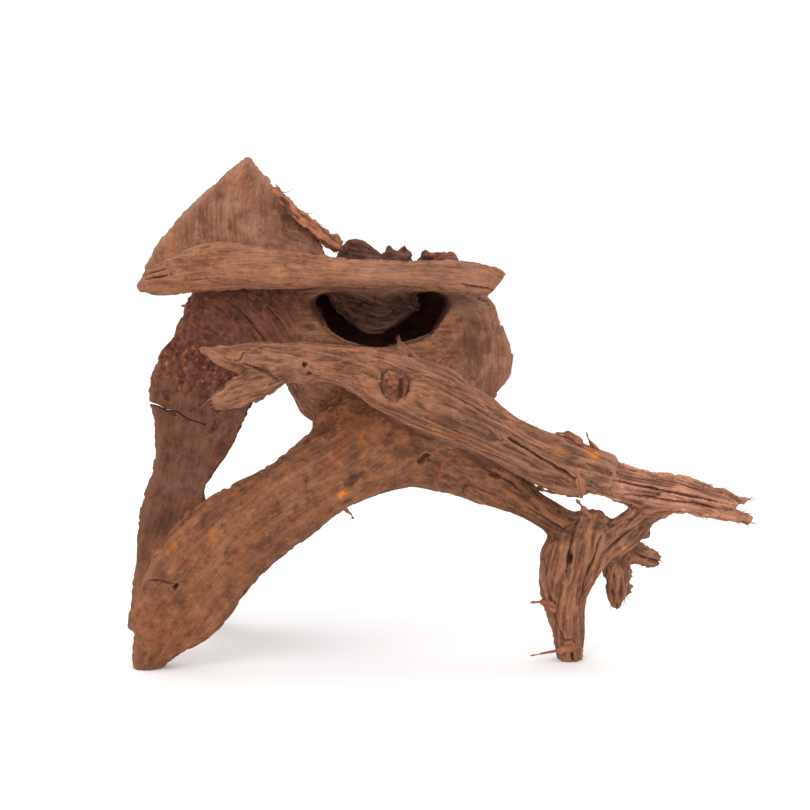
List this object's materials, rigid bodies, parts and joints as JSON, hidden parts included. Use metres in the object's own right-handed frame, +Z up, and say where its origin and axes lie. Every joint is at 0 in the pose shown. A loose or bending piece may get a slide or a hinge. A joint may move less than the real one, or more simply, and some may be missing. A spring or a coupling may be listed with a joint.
{
  "type": "aquarium driftwood cave",
  "caption": "Weathered aquarium driftwood root standing on its legs, with a hollow under a top beam, branches and a gap to swim through.",
  "frame": {"origin": "on the ground, under the middle of the root's bounding box", "axes": "+X along the root towards the tip of the long front branch, +Y away from the front, +Z up"},
  "size_m": [0.4262, 0.1752, 0.3441],
  "materials": {
    "wood": "weathered long grain, bare and dry",
    "warm_wood": "weathered long grain with orange heartwood worn through",
    "grey_wood": "grey brown, fine grained, with a dark decayed patch",
    "dark_wood": "dark, shaded and fibrous",
    "pale_wood": "paler dry end grain, split",
    "torn_fibre": "torn and fibrous",
    "knot_wood": "ringed end grain of a dead side branch"
  },
  "bodies": {
    "root": {"front_branch": "wood", "dead_knot": "knot_wood", "branch_fork": "wood", "branch_end": "pale_wood", "upper_finger": "pale_wood", "lower_finger": "pale_wood", "left_leg": "warm_wood", "left_blade": "grey_wood", "hub": "warm_wood", "lower_branch": "warm_wood", "right_foot": "wood", "cross_branch": "wood", "toe": "wood", "stub": "wood", "small_stub": "wood", "rear_leg": "warm_wood", "top_beam": "wood", "fan": "wood", "torn_strip": "torn_fibre", "cave_left_wall": "wood", "cave_right_wall": "wood", "cave_floor": "wood", "cave_back_wall": "wood", "cave_roof": "wood", "inner_root": "dark_wood", "lip_stub": "wood", "roof_wedge": "dark_wood", "roof_horns": "dark_wood", "roof_burl": "dark_wood", "top_splinter": "torn_fibre", "top_flake": "torn_fibre", "hanging_splinter": "torn_fibre", "gap_sliver": "torn_fibre", "curled_flake": "torn_fibre", "foot_splinter": "torn_fibre", "foot_tuft": "torn_fibre", "leg_thorn": "torn_fibre", "edge_splinter": "torn_fibre"}
  },
  "joints": []
}
